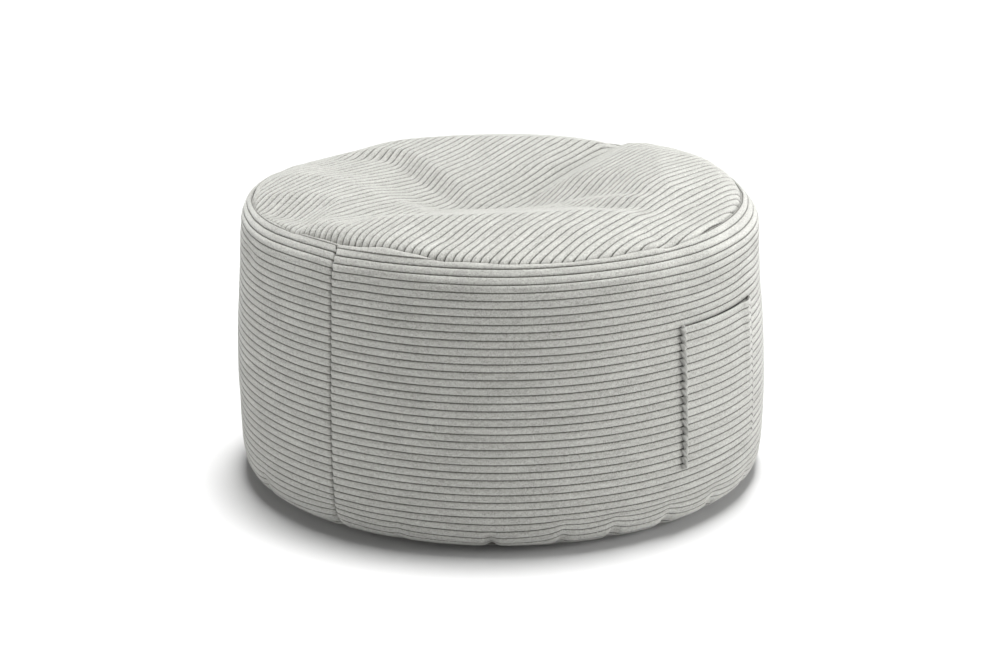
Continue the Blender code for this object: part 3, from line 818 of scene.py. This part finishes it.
def build_base_panel():
    """A flat closed sheet: its lower face has wales as shallow troughs between lands at floor
    level, and its upper face is plain. Rows run along the wales, and a chord's ends meet."""
    last = int(BASE_RADIUS / WALE_PITCH) + 1
    phase = (np.arange(-last, last)[:, None] + np.array(WALE_STATIONS)).ravel()
    across = phase * WALE_PITCH
    inside = np.abs(across) < BASE_RADIUS - BASE_ROWS_END
    phase, across = phase[inside][:, None], across[inside][:, None]
    share = np.linspace(-1.0, 1.0, BASE_COLUMNS + 1)[None, :]
    along = share * np.sqrt(BASE_RADIUS**2 - across**2)
    sunk = BASE_RELIEF * (1.0 - wale_profile(phase))
    under = np.stack(np.broadcast_arrays(along, across, sunk), axis=-1)
    upper = np.stack(np.broadcast_arrays(along, across, BASE_TOP), axis=-1)[:, ::-1]
    points = np.concatenate([under, upper], axis=1)
    rows, columns = points.shape[:2]
    quads, corner_rows, corner_columns = grid_quads(rows, columns, closed=True)
    uv_along = np.concatenate([share[0], share[0, ::-1], share[0, :1]]) * BASE_RADIUS
    uv_across = phase[:, 0][corner_rows] * WALE_PITCH
    corner_uv = np.stack([uv_along[corner_columns], uv_across], axis=-1)
    # The first and last chords are short walls, closed with two triangles a step.
    place = np.arange(columns // 2 - 1)
    ends = []
    for start, order in ((0, (0, 1, 2)), ((rows - 1) * columns, (0, 2, 1))):
        low_left, low_right = start + place, start + place + 1
        high_right, high_left = start + columns - 2 - place, start + columns - 1 - place
        ends.append(np.stack([low_left, high_right, high_left], axis=-1)[:, order])
        ends.append(np.stack([low_left, low_right, high_right], axis=-1)[:, order])
    points, ends = points.reshape(-1, 3), np.concatenate(ends)
    return cloth_object("base_panel_cloth", points, quads[:, ::-1], corner_uv[:, ::-1], ends)


base_panel = build_base_panel()
# The last colour is painted shade for the grooves.
base_panel.data.materials.append(
    corduroy("base corduroy, worn flat", "#b4b4af", "#8a8a85", "#5a5954")
)
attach(base_panel, "root")
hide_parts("base_panel")


# Side pocket: a patch of the same corduroy on the right front of the band, its wales nearly in
# line with the band's. Its left edge is turned into a roll with a knob at each wale, its right edge
# is sewn down flat, the lower edge is sewn along a groove, and the mouth is open at the top.
POCKET_LEFT = math.radians(39.3)
POCKET_RIGHT = math.radians(66.8)
POCKET_BOTTOM = 0.0715
POCKET_MOUTH = 0.2300
POCKET_CLOTH = 0.0022
POCKET_SEAT = 0.0006
# How far the mouth gapes, and a stronger pull: its size, and its middle and half width as shares of
# the pocket's width.
POCKET_GAPE = 0.0012
POCKET_PULL = 0.0030
POCKET_PULL_PLACE = (0.88, 0.06)
POCKET_COLUMNS = 92
POCKET_CROWDING = 0.8
POCKET_ROWS_A_WALE = 10
# Beyond the roll the pocket's wales lie this part of a wale below the band's.
POCKET_WALE_SHIFT = 0.2
# The roll is a bar, whose section is a half sine to a power. The notches between its knobs are
# half sines too, and part of their depth fades inwards. From a share of its width on, part of the
# grooves' depth shows, and over another share the grooves' painted shade is left off the roll.
ROLL_WIDTH = 0.0078
ROLL_RISE = 0.0034
ROLL_FULLNESS = 0.6
ROLL_NOTCH = 0.0038
ROLL_NOTCH_SHARPNESS = 1.2
ROLL_NOTCH_FADE = 0.35
ROLL_GROOVE = 0.6
ROLL_GROOVE_START = 0.4
ROLL_NO_GROOVE_SHADE = 0.8
INNER_END_ROUNDING = 0.5
# The saw teeth of the two upright edges and how far in they reach, and the lengths from the right
# edge between which the painted shade in the gaps at its stitches fades out.
LEFT_TOOTH = 0.0040
LEFT_TOOTH_REACH = 0.008
RIGHT_TOOTH = 0.0034
RIGHT_TOOTH_REACH = 0.012
RIGHT_EDGE_SHADE = (0.0030, 0.0085)
# The cut edges fall towards the band over these lengths, by most of the cloth's thickness.
EDGE_FALL = 0.0014
HEM_FALL = 0.0015
FALL_DEPTH = 0.9 * POCKET_CLOTH


def pocket_stand(up, across):
    """How far the patch's outer face stands off the band before its relief: a seat and its cloth,
    and at the mouth a belly, which is a flattened half sine, with a pull in a bell on top."""
    belly = np.clip(np.sin(math.pi * across), 0.0, 1.0) ** 0.5
    middle, half_width = POCKET_PULL_PLACE
    pull = np.exp(-(((across - middle) / half_width) ** 2))
    rise = np.sin(math.pi / 2 * np.clip(up, 0.0, 1.0)) ** 2
    return POCKET_SEAT + POCKET_CLOTH + (POCKET_GAPE * belly + POCKET_PULL * pull) * rise


def pocket_relief(patch_phase, from_left, from_right):
    """The patch's relief: the roll is a rounded bar with a notch between every two wales. Beyond it
    the wales are sunk at their grooves and rounded off at both ends."""
    in_roll = np.clip(from_left / ROLL_WIDTH, 0.0, 1.0)
    tooth = patch_phase - np.floor(patch_phase)
    notch = 1.0 - np.sin(math.pi * tooth) ** ROLL_NOTCH_SHARPNESS
    bar = np.sin(math.pi * in_roll) ** ROLL_FULLNESS
    roll = bar * (ROLL_RISE - ROLL_NOTCH * notch * (1.0 - ROLL_NOTCH_FADE * in_roll))
    inner_end = np.clip(1.0 - (from_left - ROLL_WIDTH) / WALE_END, 0.0, 1.0)
    end = np.where(from_left < ROLL_WIDTH, 0.0, INNER_END_ROUNDING * inner_end)
    end = np.maximum(end, np.clip(1.0 - from_right / WALE_END, 0.0, 1.0))
    groove = ROLL_GROOVE * (1.0 - wale_profile(patch_phase))
    groove = groove * smooth_step(in_roll, ROLL_GROOVE_START, 1.0)
    profile = np.where(from_left < ROLL_WIDTH, 1.0 - groove, wale_profile(patch_phase, end))
    return roll - WALE_RELIEF * (1.0 - profile)


def pocket_uv(patch_phase, from_left, from_right):
    """UV over the patch. The roll has no painted groove shade. At the right edge half of each wale
    takes the painted groove shade: painted shade in the gaps at the stitches."""
    tooth = patch_phase - np.floor(patch_phase)
    wide = np.broadcast_to(from_left, patch_phase.shape)
    shown = np.where(wide < ROLL_NO_GROOVE_SHADE * ROLL_WIDTH, np.floor(patch_phase) + 0.5, patch_phase)
    # Painted shade at the right edge: half of each wale takes the dark groove colour.
    edge_shade = (1.0 - smooth_step(from_right, *RIGHT_EDGE_SHADE)) * (tooth < 0.5)
    return np.stack([wide, (shown - edge_shade * tooth) * WALE_PITCH], axis=-1)


def build_side_pocket():
    """The patch as a grid that follows the band: rows keep to the band's wales, and columns are
    closer at the edges. Both upright edges lean out and back in at every wale, like saw teeth,
    because the stitches hold them in the grooves."""
    run_low = np.interp(-POCKET_BOTTOM, -outline_heights, outline_run)
    run_high = np.interp(-POCKET_MOUTH, -outline_heights, outline_run)
    phase_high = (run_high - first_groove_run) / WALE_PITCH
    phase_low = (run_low - first_groove_run) / WALE_PITCH
    count = int(round((phase_low - phase_high) * POCKET_ROWS_A_WALE))
    phase = np.linspace(phase_high, phase_low, count + 1)[:, None]
    run = first_groove_run + phase * WALE_PITCH
    even = np.linspace(-1.0, 1.0, POCKET_COLUMNS + 1)[None, :]
    across = 0.5 + 0.5 * crowded(even, POCKET_CROWDING)
    angle = POCKET_LEFT + (POCKET_RIGHT - POCKET_LEFT) * across
    climb = WALE_CLIMB * WALE_PITCH * (angle - SEAM_ANGLE) / (2 * math.pi)
    radius, height = side_point(wale_run(run, angle) - climb, angle)
    width = (POCKET_RIGHT - POCKET_LEFT) * BELT_RADIUS
    from_left, from_right = across * width, (1.0 - across) * width
    patch_phase = phase + POCKET_WALE_SHIFT * np.clip(from_left / ROLL_WIDTH, 0.0, 1.0)
    up = (height - POCKET_BOTTOM) / (POCKET_MOUTH - POCKET_BOTTOM)
    radius = radius + pocket_stand(up, across) + pocket_relief(patch_phase, from_left, from_right)
    edge_fall = 1.0 - smooth_step(np.minimum(from_left, from_right), 0.0, EDGE_FALL)
    hem_fall = 1.0 - smooth_step(run[-1] - run, 0.0, HEM_FALL)
    radius = radius - FALL_DEPTH * np.maximum(edge_fall, hem_fall)
    tooth = patch_phase - np.floor(patch_phase)
    left_lean = LEFT_TOOTH * tooth * (1.0 - smooth_step(from_left, 0.0, LEFT_TOOTH_REACH))
    right_lean = RIGHT_TOOTH * (tooth - 0.5)
    right_lean = right_lean * (1.0 - smooth_step(from_right, 0.0, RIGHT_TOOTH_REACH))
    points = around_axis(radius, angle + (left_lean + right_lean) / BELT_RADIUS, height)
    made = grid_object("pocket_cloth", points, pocket_uv(patch_phase, from_left, from_right))
    thick = made.modifiers.new("cloth", "SOLIDIFY")
    thick.thickness = POCKET_CLOTH
    thick.offset = -1.0
    return made


pocket = build_side_pocket()
pocket.data.materials.append(pale_corduroy)
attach(pocket, "root")
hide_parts("side_pocket")


# Floor: a plain pale studio floor, painted and matt. It is so wide that the camera sees only its
# bright middle.
FLOOR_SIZE = 30.0
FLOOR_COLOUR = "#c6c6c6"


def build_floor():
    """A flat square under the stool."""
    half = FLOOR_SIZE / 2
    corners = [(-half, -half, 0), (half, -half, 0), (half, half, 0), (-half, half, 0)]
    mesh = bpy.data.meshes.new("floor")
    mesh.from_pydata(corners, [], [(0, 1, 2, 3)])
    made = bpy.data.objects.new("floor", mesh)
    bpy.context.scene.collection.objects.link(made)
    paint = bpy.data.materials.new("matt pale grey floor paint")
    paint.use_nodes = True
    shader = paint.node_tree.nodes["Principled BSDF"]
    shader.inputs["Base Color"].default_value = linear(FLOOR_COLOUR)
    shader.inputs["Roughness"].default_value = 0.9
    shader.inputs["Specular IOR Level"].default_value = 0.0
    mesh.materials.append(paint)
    return made


build_floor()


# Light: a plain soft studio. The main light is wide and far away, above and behind the stool and a
# little to its right, so the floor is evenly bright. Weaker softboxes stand low on both sides, and
# the surround is pale round the horizon and dim overhead.
MAIN_LIGHT_TOWARDS = (0.065, 0.165, 1.0)
MAIN_LIGHT_POWER = 5.85
MAIN_LIGHT_WIDTH = math.radians(20)
SOFTBOX_SIZE = 1.5
SOFTBOX_AIM = (0.0, 0.0, 0.15)
SOFTBOXES = (
    # name, place, power in watts
    ("right softbox", (2.6, -0.5, 0.9), 53.0),
    ("left softbox", (-2.6, -0.4, 1.0), 14.0),
)
# The surround's strength round the horizon and overhead, and the upward parts of the directions
# between which it fades.
HORIZON_STRENGTH = 4.3
OVERHEAD_STRENGTH = 0.04
HORIZON_FADE = (0.03, 0.20)


def turned_from(x, y, z):
    """The turn that makes a light shine from this direction."""
    return (math.atan2(math.hypot(x, y), z), 0.0, math.atan2(x, -y))


def add_main_light():
    """A sun lamp with a wide disc."""
    light = bpy.data.lights.new("main light", "SUN")
    light.energy = MAIN_LIGHT_POWER
    light.angle = MAIN_LIGHT_WIDTH
    made = bpy.data.objects.new("main light", light)
    made.rotation_euler = turned_from(*MAIN_LIGHT_TOWARDS)
    bpy.context.scene.collection.objects.link(made)


def add_softbox(name, place, power):
    """A square area light at a place, turned to face the stool."""
    light = bpy.data.lights.new(name, "AREA")
    light.shape = "SQUARE"
    light.size = SOFTBOX_SIZE
    light.energy = power
    made = bpy.data.objects.new(name, light)
    made.location = place
    made.rotation_euler = turned_from(*(np.array(place) - np.array(SOFTBOX_AIM)))
    bpy.context.scene.collection.objects.link(made)


def add_surround():
    """An even surround that is pale up to a low height and dim above it."""
    surround = bpy.data.worlds.new("pale surround")
    surround.use_nodes = True
    tree = surround.node_tree
    direction = add_node(tree, "ShaderNodeTexCoord").outputs["Generated"]
    upward = add_node(tree, "ShaderNodeSeparateXYZ", {0: direction}).outputs["Z"]
    fade = {
        "Value": upward,
        "From Min": HORIZON_FADE[0],
        "From Max": HORIZON_FADE[1],
        "To Min": HORIZON_STRENGTH,
        "To Max": OVERHEAD_STRENGTH,
    }
    strength = add_node(tree, "ShaderNodeMapRange", fade, interpolation_type="SMOOTHSTEP")
    background = tree.nodes["Background"]
    background.inputs["Color"].default_value = linear("#ffffff")
    tree.links.new(strength.outputs[0], background.inputs["Strength"])
    bpy.context.scene.world = surround


add_main_light()
for softbox in SOFTBOXES:
    add_softbox(*softbox)
add_surround()
bpy.context.scene.view_settings.view_transform = "Standard"


# Camera: a long lens in front of the stool and above it. It looks down by its tilt and is turned a
# little about its line of sight.
CAMERA_PLACE = (-0.0020, -2.8016, 1.0677)
CAMERA_TILT = math.radians(18.185)
CAMERA_ROLL = math.radians(-0.223)
CAMERA_LENS = 92.81
CAMERA_FILM_WIDTH = 36.0
CAMERA_REACH = 60.0


def add_camera():
    """The camera, turned up from straight down by a right angle less its tilt."""
    data = bpy.data.cameras.new("camera")
    data.lens = CAMERA_LENS
    data.sensor_width = CAMERA_FILM_WIDTH
    data.clip_end = CAMERA_REACH
    made = bpy.data.objects.new("camera", data)
    turn = mathutils.Matrix.Rotation(math.pi / 2 - CAMERA_TILT, 4, "X")
    roll = mathutils.Matrix.Rotation(CAMERA_ROLL, 4, "Z")
    made.matrix_world = mathutils.Matrix.Translation(CAMERA_PLACE) @ turn @ roll
    bpy.context.scene.collection.objects.link(made)
    return made


bpy.context.scene.camera = add_camera()

bpy.context.view_layer.update()
